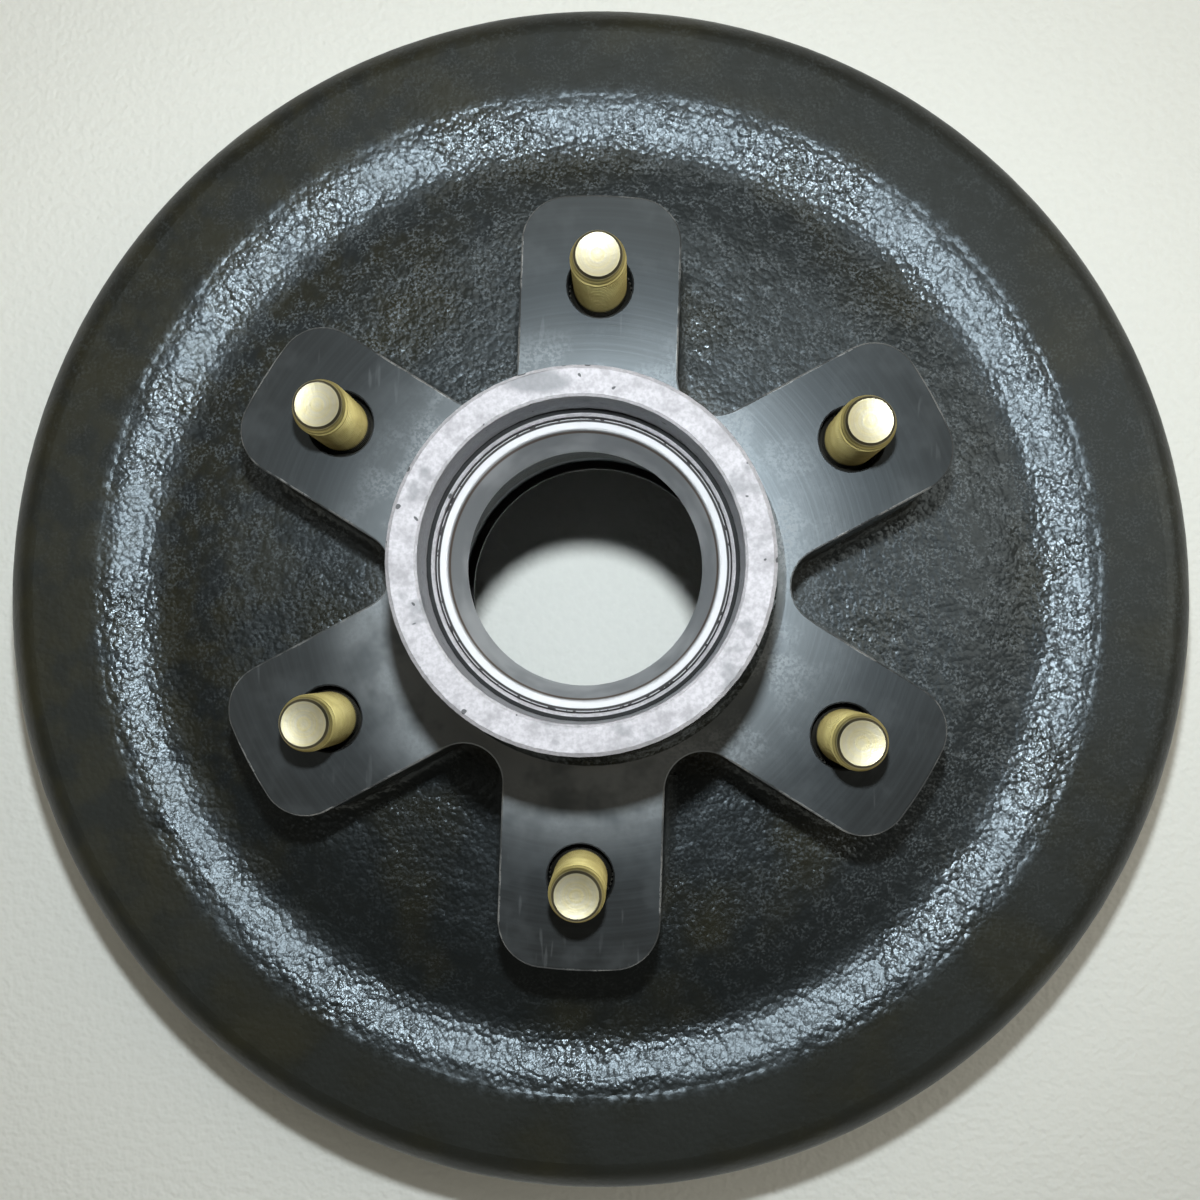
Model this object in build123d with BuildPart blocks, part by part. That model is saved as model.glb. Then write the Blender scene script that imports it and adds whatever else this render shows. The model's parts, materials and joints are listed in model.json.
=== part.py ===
"""Integral hub and brake drum of a trailer axle, with its wheel studs and bearing cups.

Frame: millimetres, +Z along the hub axis towards the outboard end, origin at the centre of the
drum's open edge, which is the plane that the drum stands on. Wheel stud 1 lies on +Y.
"""
from build123d import *
import math
import os

os.makedirs("parts", exist_ok=True)

# ---------------------------------------------------------------- driving dimensions
STUD_COUNT = 6
STUD_CIRCLE_D = 139.7        # six studs on 5.5 in
FIRST_STUD_DEG = 90.0

BRAKE_D = 304.8              # 12 in brake surface
SHOULDER_R = 161.0           # outer corner of the drum's shoulder
SHOULDER_ROUND = 9.0
WALL_FOOT_R = 162.5          # the cast wall widens a little towards the open edge
BEAD_R = 166.0               # stiffening bead round the open edge
BEAD_H = 16.0
BEAD_SLOPE = 4.0

SHOULDER_Z = 73.2            # top of the flat ring round the web
CEILING_Z = 64.5             # inside face under that ring
PAD_Z = 118.0                # machined face that the wheel bolts to
HUB_TOP_Z = 182.0            # outboard end of the hub barrel
HUB_FOOT_Z = 24.0            # inboard end of the hub barrel

CAP_BORE_D = 62.0            # press bore of the grease cap, 2.44 in
CAP_BORE_DEPTH = 13.6
SEAL_BORE_D = 85.7           # press bore of the grease seal
SEAL_BORE_DEPTH = 12.0

OUTER_CUP_D = 59.13          # outer bearing cup
OUTER_CUP_W = 11.8
INNER_CUP_D = 82.93          # inner bearing cup
INNER_CUP_W = 19.05

# ---------------------------------------------------------------- casting details
HUB_FACE_R = 37.05
BARREL_BASE_R = 41.4         # hub barrel where it meets the pad plane
BARREL_FILLET = 5.0
HUB_CORE_R = 46.6            # solid core between the barrel and the web
INNER_BARREL_R = 53.0        # hub barrel inside the drum

WEB_ROOT = (HUB_CORE_R, 81.0)      # radius and height where the web leaves the hub
WEB_KNEE = (101.5, 74.6)     # the web turns down towards the valley
WEB_VALLEY = (119.5, 69.2)   # lowest ring of the web's outer side
RING_EDGE = (132.5, 73.8)    # inner edge of the flat ring

MAGNET_FACE_R = (92.0, 127.5)   # machined ring that a brake magnet rubs on
MAGNET_FACE_Z = 60.0
MAGNET_FACE_STEP = 4.0
WEB_UNDER = (89.5, 66.5)     # inner side of the web, beside the machined ring
WEB_UNDER_ROOT = (56.0, 69.5)
BRAKE_LEAD = (2.4, 4.0)      # lead-in at the open edge
BRAKE_TOP_Z = 58.0
BRAKE_RELIEF = 1.0           # tool relief behind the brake surface

PAD_W = 38.0
PAD_END_R = 91.5
PAD_CORNER = 11.0
PAD_ROOT = 9.2               # round where two neighbouring pads run together
PAD_DEPTH = 45.0             # from the pad face down into the web
PAD_THICK = 14.0             # metal over the hollow of each pad
PAD_DRAFT = 2.0              # degrees
PAD_FOOT_FILLET = 3.5
PAD_EDGE_CHAMFER = 0.35
POCKET_R = (58.0, 84.5)      # hollow under each pad, in from the inner side
POCKET_W = 24.0
POCKET_CORNER = 6.0

KNEE_ROUND = 45.0            # rounds of the casting's outer side, from the hub outwards
VALLEY_ROUND = 16.0
RING_ROUND = 14.0
BEAD_FOOT_ROUND = 4.0
BEAD_ROUND = 3.0
OPEN_EDGE_ROUND = 1.0
CEILING_ROUND = 3.0          # rounds of its inner side, from the brake surface inwards
WEB_UNDER_ROUND = 2.0
WEB_UNDER_ROOT_ROUND = 7.0
HUB_FOOT_ROUND = 1.5
GREASE_ROUND = 8.0

EDGE_BREAK = 0.5
FACE_CHAMFER = 0.8
SEAT_LEAD = 0.53             # lead-in chamfer of a bearing seat
OUTER_CUP_SHOULDER = 2.4     # radial height of the step that a cup sits on
INNER_CUP_SHOULDER = 4.8
GREASE_NECK = 7.0            # straight length of the bore behind each cup
LEVEL_TOL = 0.05             # how exactly an edge lies in a plane
OFF_AXIS = 1.0               # an edge centred nearer than this is a circle round the axis

# ---------------------------------------------------------------- stud details
STUD_R = 6.35                # 1/2 in thread, drawn here at its major diameter
STUD_STANDOUT = 24.5
STUD_TIP_R = 4.95
STUD_TIP_CHAMFER = 0.6
STUD_LEAD = 3.6              # from the tip down to the full diameter
STUD_DISH = 0.35
STUD_BORE_R = 7.75
STUD_KNURL_L = 8.5
STUD_NECK = 0.8
STUD_HEAD_R = 9.5
STUD_HEAD_H = 5.0
STUD_HEAD_CHAMFER = 1.0

# ---------------------------------------------------------------- cup details
CUP_CORNER = 1.2
CUP_EDGE = 0.4
OUTER_CUP_MOUTH_R = 27.1     # where the raceway opens
OUTER_CUP_BORE_R = 24.2      # narrow end of the raceway
INNER_CUP_MOUTH_R = 38.0
INNER_CUP_BORE_R = 34.6
CUP_LAND = 1.6               # short straight land at the narrow end


def stud_angles():
    """Return the angle of each wheel stud in degrees, clockwise from the first."""
    step = 360.0 / STUD_COUNT
    return [FIRST_STUD_DEG - step * index for index in range(STUD_COUNT)]


# ---------------------------------------------------------------- derived heights
cap_floor_z = HUB_TOP_Z - CAP_BORE_DEPTH
outer_seat_r = OUTER_CUP_D / 2
outer_cup_top_z = cap_floor_z - FACE_CHAMFER
outer_seat_z = outer_cup_top_z - OUTER_CUP_W
seal_seat_z = HUB_FOOT_Z + SEAL_BORE_DEPTH
inner_seat_r = INNER_CUP_D / 2
inner_cup_front_z = seal_seat_z + FACE_CHAMFER
inner_seat_z = inner_cup_front_z + INNER_CUP_W
pocket_top_z = PAD_Z - PAD_THICK
brake_r = BRAKE_D / 2
cap_bore_r = CAP_BORE_D / 2
seal_bore_r = SEAL_BORE_D / 2

# Each corner of a section is a radius, a height and a fillet.
outboard_side = [
    (0, HUB_TOP_Z, 0),
    (HUB_FACE_R - FACE_CHAMFER, HUB_TOP_Z, 0),
    (HUB_FACE_R, HUB_TOP_Z - FACE_CHAMFER, 0),
    (BARREL_BASE_R, PAD_Z, BARREL_FILLET),
    (HUB_CORE_R, PAD_Z, 0),
    (*WEB_ROOT, 0),
    (*WEB_KNEE, KNEE_ROUND),
    (*WEB_VALLEY, VALLEY_ROUND),
    (*RING_EDGE, RING_ROUND),
    (SHOULDER_R, SHOULDER_Z, SHOULDER_ROUND),
    (WALL_FOOT_R, BEAD_H + BEAD_SLOPE, BEAD_FOOT_ROUND),
    (BEAD_R, BEAD_H, BEAD_ROUND),
    (BEAD_R, 0, OPEN_EDGE_ROUND),
]
brake_side = [
    (brake_r + BRAKE_LEAD[0], 0, 0),
    (brake_r, BRAKE_LEAD[1], 0),
    (brake_r, BRAKE_TOP_Z, 0),
    (brake_r + BRAKE_RELIEF, BRAKE_TOP_Z + BRAKE_RELIEF, 0),
    (brake_r + BRAKE_RELIEF, CEILING_Z, CEILING_ROUND),
    (MAGNET_FACE_R[1] + MAGNET_FACE_STEP, CEILING_Z, CEILING_ROUND),
    (MAGNET_FACE_R[1], MAGNET_FACE_Z, EDGE_BREAK),
    (MAGNET_FACE_R[0], MAGNET_FACE_Z, EDGE_BREAK),
    (*WEB_UNDER, WEB_UNDER_ROUND),
    (*WEB_UNDER_ROOT, WEB_UNDER_ROOT_ROUND),
    (INNER_BARREL_R, HUB_FOOT_Z, HUB_FOOT_ROUND),
    (0, HUB_FOOT_Z, 0),
]
bore_side = [
    (0, HUB_TOP_Z, 0),
    (cap_bore_r + EDGE_BREAK, HUB_TOP_Z, 0),
    (cap_bore_r, HUB_TOP_Z - EDGE_BREAK, 0),
    (cap_bore_r, cap_floor_z, 0),
    (outer_seat_r + SEAT_LEAD, cap_floor_z, 0),
    (outer_seat_r, cap_floor_z - SEAT_LEAD, 0),
    (outer_seat_r, outer_seat_z, 0),
    (outer_seat_r - OUTER_CUP_SHOULDER, outer_seat_z, 0),
    (outer_seat_r - OUTER_CUP_SHOULDER, outer_seat_z - GREASE_NECK, GREASE_ROUND),
    (inner_seat_r - INNER_CUP_SHOULDER, inner_seat_z + GREASE_NECK, GREASE_ROUND),
    (inner_seat_r - INNER_CUP_SHOULDER, inner_seat_z, 0),
    (inner_seat_r, inner_seat_z, 0),
    (inner_seat_r, seal_seat_z, 0),
    (seal_bore_r, seal_seat_z, 0),
    (seal_bore_r, HUB_FOOT_Z + FACE_CHAMFER, 0),
    (seal_bore_r + FACE_CHAMFER, HUB_FOOT_Z, 0),
    (0, HUB_FOOT_Z, 0),
]


def corner_points(corners):
    """Return the radius and height of each corner of a section."""
    return [(radius, height) for radius, height, _ in corners]


def corner_fillets(corners):
    """Return the fillet of each corner of a section."""
    return [fillet_radius for _, _, fillet_radius in corners]


def reach(edge):
    """Return how far the middle of an edge's box is from the hub axis."""
    middle = edge.bounding_box().center()
    return math.hypot(middle.X, middle.Y)


def is_pad_foot(edge):
    """Tell whether an edge runs where the side of a pad meets the web's outer face."""
    box = edge.bounding_box()
    return WEB_KNEE[1] < box.min.Z and box.max.Z < WEB_ROOT[1] and reach(edge) > HUB_CORE_R - PAD_ROOT


def is_pad_edge(edge):
    """Tell whether an edge bounds a machined pad face or a stud hole in it."""
    box = edge.bounding_box()
    in_plane = abs(box.min.Z - PAD_Z) < LEVEL_TOL and abs(box.max.Z - PAD_Z) < LEVEL_TOL
    return in_plane and reach(edge) > OFF_AXIS


# ---------------------------------------------------------------- hub and drum, one casting
body_side = outboard_side + brake_side
with BuildPart() as hub_drum:
    with BuildSketch(Plane.XZ):
        with BuildLine():
            FilletPolyline(*corner_points(body_side), radius=corner_fillets(body_side), close=True)
        make_face()
    revolve(axis=Axis.Z)

    # Six wheel pads, run together round the hub and drafted like the pattern they were cast from
    with BuildSketch(Plane.XY.offset(PAD_Z)) as pad_outline:
        with PolarLocations(PAD_END_R / 2, STUD_COUNT, start_angle=FIRST_STUD_DEG):
            Rectangle(PAD_END_R + PAD_CORNER, PAD_W)
        Circle(PAD_END_R, mode=Mode.INTERSECT)
        by_reach = pad_outline.vertices().sort_by(lambda v: math.hypot(v.X, v.Y))
        fillet(by_reach[-2 * STUD_COUNT:], PAD_CORNER)
        by_reach = pad_outline.vertices().sort_by(lambda v: math.hypot(v.X, v.Y))
        fillet(by_reach[:STUD_COUNT], PAD_ROOT)
    extrude(amount=-PAD_DEPTH, taper=-PAD_DRAFT)

    # Bore for the bearing cups, the grease cap and the seal
    with BuildSketch(Plane.XZ):
        with BuildLine():
            FilletPolyline(*corner_points(bore_side), radius=corner_fillets(bore_side), close=True)
        make_face()
    revolve(axis=Axis.Z, mode=Mode.SUBTRACT)

    # Each pad is hollow from the inner side, round the head of its stud
    with BuildSketch(Plane.XY.offset(pocket_top_z)):
        with PolarLocations(sum(POCKET_R) / 2, STUD_COUNT, start_angle=FIRST_STUD_DEG):
            RectangleRounded(POCKET_R[1] - POCKET_R[0], POCKET_W, POCKET_CORNER)
    extrude(amount=MAGNET_FACE_Z - pocket_top_z, taper=-PAD_DRAFT, mode=Mode.SUBTRACT)

    # Stud holes through the pad faces
    with Locations(Plane.XY.offset(PAD_Z)):
        with PolarLocations(STUD_CIRCLE_D / 2, STUD_COUNT, start_angle=FIRST_STUD_DEG):
            Hole(STUD_BORE_R, depth=PAD_THICK + EDGE_BREAK)

    # Soft foot where the pads rise from the web, then the edges of their machined faces
    pad_sides = hub_drum.edges().filter_by(is_pad_foot)
    fillet(pad_sides, PAD_FOOT_FILLET)
    face_edges = hub_drum.edges().filter_by(is_pad_edge)
    chamfer(face_edges, PAD_EDGE_CHAMFER)
hub_drum.part.label = "hub_drum"
export_step(hub_drum.part, "parts/hub_drum.step")

# ---------------------------------------------------------------- wheel studs
stud_head_z = pocket_top_z - STUD_HEAD_H
stud_tip_z = PAD_Z + STUD_STANDOUT
knurl_top_z = pocket_top_z + STUD_KNURL_L
dish_r = (STUD_TIP_R**2 + STUD_DISH**2) / (2 * STUD_DISH)

for index, angle in enumerate(stud_angles()):
    stud_x = STUD_CIRCLE_D / 2 * math.cos(math.radians(angle))
    stud_y = STUD_CIRCLE_D / 2 * math.sin(math.radians(angle))
    with BuildPart() as wheel_stud:
        with BuildSketch(Plane(origin=(stud_x, stud_y, 0), x_dir=(1, 0, 0), z_dir=(0, -1, 0))):
            with BuildLine():
                Polyline(
                    (0, stud_head_z),
                    (STUD_HEAD_R - STUD_HEAD_CHAMFER, stud_head_z),
                    (STUD_HEAD_R, stud_head_z + STUD_HEAD_CHAMFER),
                    (STUD_HEAD_R, pocket_top_z),
                    (STUD_BORE_R, pocket_top_z),
                    (STUD_BORE_R, knurl_top_z - STUD_NECK),
                    (STUD_R, knurl_top_z),
                    (STUD_R, stud_tip_z - STUD_LEAD),
                    (STUD_TIP_R + STUD_TIP_CHAMFER, stud_tip_z - STUD_TIP_CHAMFER),
                    (STUD_TIP_R, stud_tip_z),
                )
                RadiusArc((STUD_TIP_R, stud_tip_z), (0, stud_tip_z - STUD_DISH), dish_r)
                Line((0, stud_tip_z - STUD_DISH), (0, stud_head_z))
            make_face()
        revolve(axis=Axis((stud_x, stud_y, 0), (0, 0, 1)))
    stud_name = f"wheel_stud_{index + 1}"
    wheel_stud.part.label = stud_name
    export_step(wheel_stud.part, f"parts/{stud_name}.step")

# ---------------------------------------------------------------- bearing cups
with BuildPart() as outer_bearing_cup:
    with BuildSketch(Plane.XZ):
        with BuildLine():
            FilletPolyline(
                (outer_seat_r, outer_seat_z),
                (outer_seat_r, outer_cup_top_z),
                (OUTER_CUP_MOUTH_R, outer_cup_top_z),
                (OUTER_CUP_BORE_R, outer_seat_z + CUP_LAND),
                (OUTER_CUP_BORE_R, outer_seat_z),
                radius=[CUP_EDGE, CUP_CORNER, CUP_EDGE, CUP_EDGE, CUP_EDGE],
                close=True,
            )
        make_face()
    revolve(axis=Axis.Z)
outer_bearing_cup.part.label = "outer_bearing_cup"
export_step(outer_bearing_cup.part, "parts/outer_bearing_cup.step")

with BuildPart() as inner_bearing_cup:
    with BuildSketch(Plane.XZ):
        with BuildLine():
            FilletPolyline(
                (inner_seat_r, inner_seat_z),
                (inner_seat_r, inner_cup_front_z),
                (INNER_CUP_MOUTH_R, inner_cup_front_z),
                (INNER_CUP_BORE_R, inner_seat_z - CUP_LAND),
                (INNER_CUP_BORE_R, inner_seat_z),
                radius=[CUP_EDGE, CUP_CORNER, CUP_EDGE, CUP_EDGE, CUP_EDGE],
                close=True,
            )
        make_face()
    revolve(axis=Axis.Z)
inner_bearing_cup.part.label = "inner_bearing_cup"
export_step(inner_bearing_cup.part, "parts/inner_bearing_cup.step")
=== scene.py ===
"""Looks of an integral hub and brake drum: cast skin, machined faces, plated studs, bearing cups.

Frame: metres, +Z along the hub axis towards the outboard end, the open edge standing on Z = 0 and
wheel stud 1 on +Y. Sizes are written in millimetres and turned into metres by MM.
"""
import json
import logging
import math
from dataclasses import dataclass
from enum import Enum
from functools import reduce
from typing import Any, Optional, Union

import bmesh
import bpy
import numpy as np
from mathutils import Matrix, Vector


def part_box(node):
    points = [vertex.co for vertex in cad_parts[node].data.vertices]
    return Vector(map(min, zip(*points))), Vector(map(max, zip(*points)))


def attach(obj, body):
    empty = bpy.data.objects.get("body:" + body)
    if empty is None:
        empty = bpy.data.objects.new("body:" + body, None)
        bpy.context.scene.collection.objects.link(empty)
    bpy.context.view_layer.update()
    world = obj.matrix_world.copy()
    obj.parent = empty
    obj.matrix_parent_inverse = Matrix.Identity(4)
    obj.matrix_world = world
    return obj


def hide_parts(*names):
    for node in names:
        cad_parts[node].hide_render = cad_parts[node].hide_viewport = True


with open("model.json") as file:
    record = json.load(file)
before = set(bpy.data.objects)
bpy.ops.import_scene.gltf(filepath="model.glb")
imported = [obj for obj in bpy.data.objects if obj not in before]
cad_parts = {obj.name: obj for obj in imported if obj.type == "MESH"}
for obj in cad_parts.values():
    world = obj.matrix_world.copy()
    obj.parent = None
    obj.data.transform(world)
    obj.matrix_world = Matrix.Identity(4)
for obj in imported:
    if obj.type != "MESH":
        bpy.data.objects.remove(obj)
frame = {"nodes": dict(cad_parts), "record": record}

MM = 0.001
LOG = logging.getLogger("brake_drum")
SIXTH = math.radians(60)         # six wheel pads and studs
BUMP_FILTER = 0.1
CUP_RADII = {"outer": (27.1, 29.565), "inner": (38.0, 41.465)}   # mouth and seat, in millimetres
GREASE_AND_SHADE_DEPTH = 2.5               # how far down the inner cup old grease and painted shade reach, in millimetres
PLACES_PER_METRE = 1e6           # points nearer than about a micrometre are one

Colour = tuple[float, float, float]
Place = tuple[float, float, float]
Pair = tuple[float, float]
Value = Union["Wire", float, int, bool, tuple, str, list, bpy.types.Material]


# ---------------------------------------------------------------- node trees
class Wire:
    """An output socket of a node, with arithmetic that adds Math nodes to its tree."""

    def __init__(self, bench: "Bench", socket: bpy.types.NodeSocket) -> None:
        """Keep the tree's bench and the socket."""
        self.bench = bench
        self.socket = socket

    def other(self, identifier: str) -> "Wire":
        """Return the output of the same node that has this identifier."""
        outputs = self.socket.node.outputs
        return Wire(self.bench, next(s for s in outputs if s.identifier == identifier))

    def __add__(self, value: Value) -> "Wire":
        """Return this plus a value."""
        return self.bench.math("ADD", self, value)

    def __radd__(self, value: Value) -> "Wire":
        """Return a value plus this."""
        return self.bench.math("ADD", value, self)

    def __sub__(self, value: Value) -> "Wire":
        """Return this less a value."""
        return self.bench.math("SUBTRACT", self, value)

    def __rsub__(self, value: Value) -> "Wire":
        """Return a value less this."""
        return self.bench.math("SUBTRACT", value, self)

    def __mul__(self, value: Value) -> "Wire":
        """Return this times a value."""
        return self.bench.math("MULTIPLY", self, value)

    def __rmul__(self, value: Value) -> "Wire":
        """Return a value times this."""
        return self.bench.math("MULTIPLY", value, self)

    def __truediv__(self, value: Value) -> "Wire":
        """Return this over a value."""
        return self.bench.math("DIVIDE", self, value)

    def __rtruediv__(self, value: Value) -> "Wire":
        """Return a value over this."""
        return self.bench.math("DIVIDE", value, self)

    def __mod__(self, value: Value) -> "Wire":
        """Return this modulo a value, never negative."""
        return self.bench.math("FLOORED_MODULO", self, value)

    def __abs__(self) -> "Wire":
        """Return this without its sign."""
        return self.bench.math("ABSOLUTE", self)


class Bench:
    """A node tree that is being built."""

    def __init__(self, tree: bpy.types.NodeTree) -> None:
        """Keep the tree."""
        self.tree = tree

    def add(
        self,
        kind: str,
        settings: Optional[dict[str, Any]] = None,
        sockets: Optional[dict[str, Value]] = None,
        output: Optional[str] = None,
    ) -> Wire:
        """Add a node.

        Args:
            kind: The node's type.
            settings: Its properties, set first.
            sockets: Values or links of its inputs, by identifier.
            output: The identifier of the output to return, the first one where it is None.

        Returns:
            The output.
        """
        node = self.tree.nodes.new(kind)
        for name, setting in (settings or {}).items():
            setattr(node, name, setting)
        for name, value in (sockets or {}).items():
            target = next(s for s in node.inputs if s.identifier == name)
            for part in value if isinstance(value, list) else [value]:
                if isinstance(part, Wire):
                    self.tree.links.new(part.socket, target)
                else:
                    target.default_value = part
        matching = (s for s in node.outputs if output in (None, s.identifier))
        return Wire(self, next(matching, None))

    def math(self, operation: str, *values: Value) -> Wire:
        """Return a Math node's result on up to three values."""
        names = ("Value", "Value_001", "Value_002")
        return self.add("ShaderNodeMath", {"operation": operation}, dict(zip(names, values)))

    def largest(self, *values: Value) -> Wire:
        """Return the largest of the values."""
        return reduce(lambda first, second: self.math("MAXIMUM", first, second), values)

    def smallest(self, *values: Value) -> Wire:
        """Return the smallest of the values."""
        return reduce(lambda first, second: self.math("MINIMUM", first, second), values)

    def vector(self, x: Value, y: Value, z: Value) -> Wire:
        """Return a vector of three numbers."""
        return self.add("ShaderNodeCombineXYZ", {}, {"X": x, "Y": y, "Z": z})

    def length(self, first: Value, second: Value) -> Wire:
        """Return the length of a vector with these two parts."""
        return self.math("SQRT", first * first + second * second)

    def rise(self, value: Value, start: float, end: float) -> Wire:
        """Return a smooth step.

        Args:
            value: What is measured.
            start: Where the step is still 0.
            end: Where it has reached 1, which may be below start.

        Returns:
            The step, from 0 to 1.
        """
        low, high = min(start, end), max(start, end)
        step = self.add(
            "ShaderNodeMapRange",
            {"interpolation_type": "SMOOTHSTEP"},
            {"Value": value, "From Min": low, "From Max": high},
        )
        return step if start < end else 1.0 - step

    def band(self, value: Value, low: float, high: float, soft: float = 0.08) -> Wire:
        """Return 1 between two limits and 0 outside them, with soft edges."""
        return self.rise(value, low - soft, low + soft) * self.rise(value, high + soft, high - soft)

    def noise(self, place: Wire, size_mm: float, detail: float, roughness: float) -> Wire:
        """Return noise round 0.5: lumps of a width, with so many finer layers of a roughness."""
        sockets = {"Vector": place, "Scale": 1.0 / (size_mm * MM), "Detail": detail}
        return self.add("ShaderNodeTexNoise", {}, {**sockets, "Roughness": roughness})

    def tint(self, factor: Value, first: Union[Wire, Colour], second: Union[Wire, Colour]) -> Wire:
        """Return a mix of two colours, the second where the factor is 1."""
        ends = [c if isinstance(c, Wire) else (*c, 1.0) for c in (first, second)]
        sockets = {"Factor_Float": factor, "A_Color": ends[0], "B_Color": ends[1]}
        return self.add("ShaderNodeMix", {"data_type": "RGBA"}, sockets, "Result_Color")

    def clouded(self, cloud: Wire, value: float, gain: float) -> Wire:
        """Return a value that a cloud raises by up to a gain."""
        return value + cloud * gain

    def coated(self, base: Union[Wire, Colour], *coats: tuple[Value, Union[Wire, Colour]]) -> Wire:
        """Return a colour under coats of others, each as strong as its factor."""
        return reduce(lambda under, coat: self.tint(coat[0], under, coat[1]), coats, base)

    def between(self, factor: Value, first: Value, second: Value) -> Wire:
        """Return a mix of two numbers, the second where the factor is 1."""
        sockets = {"Factor_Float": factor, "A_Float": first, "B_Float": second}
        return self.add("ShaderNodeMix", {"data_type": "FLOAT"}, sockets, "Result_Float")


class Surface(Bench):
    """The shader of one material, with the point of the piece in millimetres."""

    def __init__(self, name: str) -> None:
        """Start a material.

        Args:
            name: The material's name.
        """
        self.material = bpy.data.materials.new(name)
        self.material.use_nodes = True
        super().__init__(self.material.node_tree)
        self.tree.nodes.clear()
        self.place = self.add("ShaderNodeTexCoord", {}, {}, "Object")
        across = self.add("ShaderNodeSeparateXYZ", {}, {"Vector": self.place}, "X")
        self.x = across * (1 / MM)
        self.y = across.other("Y") * (1 / MM)
        self.z = across.other("Z") * (1 / MM)
        self.radius = self.length(self.x, self.y)

    def sector(self, angle: float) -> tuple[Wire, Wire]:
        """Return how far a point lies along its sector's middle line and beside it."""
        turn = self.math("ARCTAN2", self.y, self.x) % angle - angle / 2
        return self.radius * self.math("COSINE", turn), self.radius * self.math("SINE", turn)

    def grains(self, place: Wire, size_mm: float) -> Wire:
        """Return how far a point lies from the middle of its grain, as a share of their width."""
        return self.add("ShaderNodeTexVoronoi", {}, {"Vector": place, "Scale": 1.0 / (size_mm * MM)})

    def relief(self, height: Wire, scale_mm: Value = 1.0, under: Optional[Wire] = None) -> Wire:
        """Return the normal that a height gives.

        Args:
            height: The height, as a share of the scale.
            scale_mm: The height in millimetres that 1 stands for, which may change over the surface.
            under: The normal that it starts from, the mesh's own where it is None.

        Returns:
            The normal.
        """
        sockets = {"Strength": 1.0, "Distance": scale_mm * MM, "Height": height}
        sockets["Filter Width"] = BUMP_FILTER
        if under is not None:
            sockets["Normal"] = under
        return self.add("ShaderNodeBump", {}, sockets)

    def finish(self, sockets: dict[str, Value]) -> bpy.types.Material:
        """Return the material, ended in one Principled shader with these inputs."""
        shader = self.add("ShaderNodeBsdfPrincipled", {}, sockets)
        self.add("ShaderNodeOutputMaterial", {}, {"Surface": shader})
        return self.material


class Jig(Bench):
    """A Geometry Nodes tree with named inputs, run once on a piece's mesh."""

    def __init__(self, name: str) -> None:
        """Start a tree that takes a mesh and gives one back.

        Args:
            name: The tree's name.
        """
        super().__init__(bpy.data.node_groups.new(name, "GeometryNodeTree"))
        self.tree.interface.new_socket("Mesh", in_out="OUTPUT", socket_type="NodeSocketGeometry")
        self.entry = self.tree.nodes.new("NodeGroupInput")
        self.mesh = self.named("Mesh", "Geometry")
        self.finish = self.named("Finish", "Material")

    def named(self, name: str, kind: str = "Float") -> Wire:
        """Add an input that a run sets by its name, and return its value inside the tree."""
        item = self.tree.interface.new_socket(name, in_out="INPUT", socket_type=f"NodeSocket{kind}")
        return Wire(self, next(s for s in self.entry.outputs if s.identifier == item.identifier))

    def close(self, mesh: Wire) -> None:
        """End the tree in a real mesh that wears the finish.

        Args:
            mesh: The geometry that the tree has made.
        """
        real = self.add("GeometryNodeRealizeInstances", {}, {"Geometry": mesh})
        dressed = self.add("GeometryNodeSetMaterial", {}, {"Geometry": real, "Material": self.finish})
        exit_node = self.tree.nodes.new("NodeGroupOutput")
        self.tree.links.new(dressed.socket, exit_node.inputs[0])

    def run(self, piece: bpy.types.Object, values: dict[str, Any]) -> None:
        """Shape a piece's mesh by the tree and leave it a plain mesh.

        Args:
            piece: The object.
            values: The inputs, by name.
        """
        modifier = piece.modifiers.new("shape", "NODES")
        modifier.node_group = self.tree
        for item in self.tree.interface.items_tree:
            if item.in_out == "INPUT" and item.name in values:
                modifier[item.identifier] = values[item.name]
        evaluated = piece.evaluated_get(bpy.context.evaluated_depsgraph_get())
        shaped = bpy.data.meshes.new_from_object(evaluated)
        raw = piece.data
        piece.modifiers.remove(modifier)
        piece.data = shaped
        bpy.data.meshes.remove(raw)


def new_object(name: str, data: bpy.types.ID) -> bpy.types.Object:
    """Put a mesh, a lamp or a camera in the scene.

    Args:
        name: The object's name.
        data: What it shows.

    Returns:
        The object.
    """
    made = bpy.data.objects.new(name, data)
    bpy.context.scene.collection.objects.link(made)
    return made


def table_of(
    items: bpy.types.bpy_prop_collection, name: str, columns: int = 3, kind: type = float
) -> np.ndarray:
    """Return a property of every item as a table.

    Args:
        items: The items, such as a mesh's vertices.
        name: The property.
        columns: How many numbers it holds.
        kind: Their type.

    Returns:
        The table, with a row for each item.
    """
    table = np.empty(len(items) * columns, kind)
    items.foreach_get(name, table)
    return table.reshape(-1, columns)


# ---------------------------------------------------------------- finishes
class CastSurface(Surface):
    """The casting's surface, with the noises that its paint and its bare faces share."""

    def __init__(self, name: str) -> None:
        """Start the material and make its noises.

        Args:
            name: The material's name.
        """
        super().__init__(name)
        self.broad = self.noise(self.place, 36, 3, 0.55)
        self.middle = self.noise(self.place, 12, 3, 0.62)
        self.small = self.noise(self.place, 4.5, 2, 0.6)
        self.grit = self.noise(self.place, 0.75, 1, 0.6)
        self.grooves = self.noise(self.vector(self.radius * MM, 0.0, self.z * MM), 0.9, 1, 0.7)


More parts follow.
